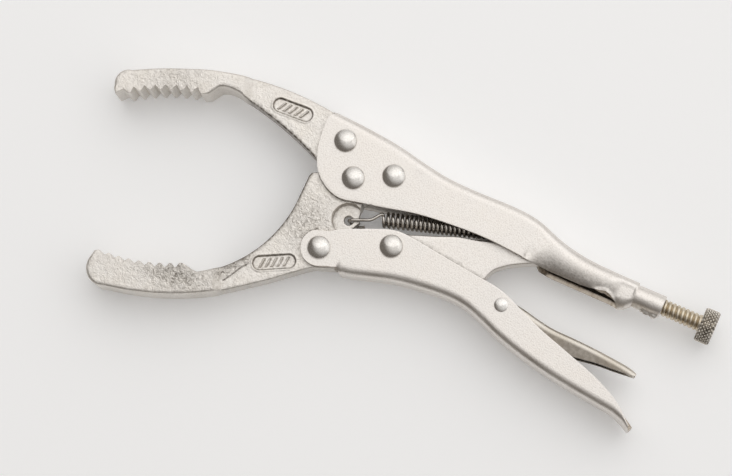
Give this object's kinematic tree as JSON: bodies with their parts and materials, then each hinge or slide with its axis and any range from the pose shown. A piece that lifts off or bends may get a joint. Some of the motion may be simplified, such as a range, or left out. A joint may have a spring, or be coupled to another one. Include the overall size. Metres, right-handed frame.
{
  "type": "locking oil filter wrench",
  "caption": "Locking pliers for oil filters: curved toothed jaws, toggle-locked channel handles, knurled adjusting screw, tension spring and release lever.",
  "frame": {"origin": "under the middle of the whole tool, in the plane that it lies on when laid on its side", "axes": "+Z along the pivots, +X along the adjusting screw towards its knurled head, +Y from the lower handle towards the upper handle"},
  "size_m": [0.2252, 0.0892, 0.0174],
  "materials": {
    "nickel_sheet": "satin nickel plate over blasted steel sheet",
    "nickel_forging": "satin nickel plate over a rough forging",
    "polished_rivet": "polished nickel plate",
    "lever_steel": "nickel-plated stamped steel",
    "screw_steel": "plated steel with a yellowish tint, rolled thread and diamond knurl",
    "spring_steel": "bright spring wire"
  },
  "bodies": {
    "root": {"upper_handle": "nickel_sheet", "fixed_jaw": "nickel_forging", "fixed_jaw_front_rivet": "polished_rivet", "fixed_jaw_rear_rivet": "polished_rivet", "jaw_pivot_rivet": "polished_rivet", "tension_spring": "spring_steel"},
    "jaw": {"moving_jaw": "nickel_forging"},
    "handle": {"lower_handle": "nickel_sheet", "handle_pivot_rivet": "polished_rivet", "link_rivet": "polished_rivet", "release_lever_rivet": "polished_rivet"},
    "link": {"toggle_link": "nickel_sheet"},
    "lever": {"release_lever": "lever_steel"},
    "screw": {"screw_shank": "screw_steel"},
    "screw_knob": {"screw_head": "screw_steel"}
  },
  "joints": [
    {"name": "jaw_pivot", "type": "hinge", "parent": "root", "child": "jaw", "pos_m": [-0.02123, 0.02485, 0.0087], "axis": [0, 0, 1], "range_deg": [0, 20], "deforming": ["tension_spring"]},
    {"name": "handle_pivot", "type": "hinge", "parent": "jaw", "child": "handle", "pos_m": [-0.02212, -0.00205, 0.0087], "axis": [0, 0, 1], "range_deg": [-68.5, 0.5]},
    {"name": "link_pivot", "type": "hinge", "parent": "handle", "child": "link", "pos_m": [0.00057, 0.00825, 0.0087], "axis": [0, 0, 1], "range_deg": [-0.5, 72.5]},
    {"name": "release_lever", "type": "hinge", "parent": "handle", "child": "lever", "pos_m": [0.04317, 0.00475, 0.0087], "axis": [0, 0, -1], "range_deg": [0, 6]},
    {"name": "screw_slide", "type": "slide", "parent": "root", "child": "screw", "axis": [1, 0, 0], "range_m": [0, 0.012]},
    {"name": "screw_turn", "type": "hinge", "parent": "screw", "child": "screw_knob", "pos_m": [0.1099, 0.02685, 0.0087], "axis": [1, 0, 0], "range_deg": [0, 2701]}
  ],
  "couplings": [
    {"joint": "handle_pivot", "follows": "jaw_pivot", "ratio": -3.4},
    {"joint": "link_pivot", "follows": "jaw_pivot", "ratio": 3.6},
    {"joint": "screw_turn", "follows": "screw_slide", "rad_per_m": 3927}
  ]
}
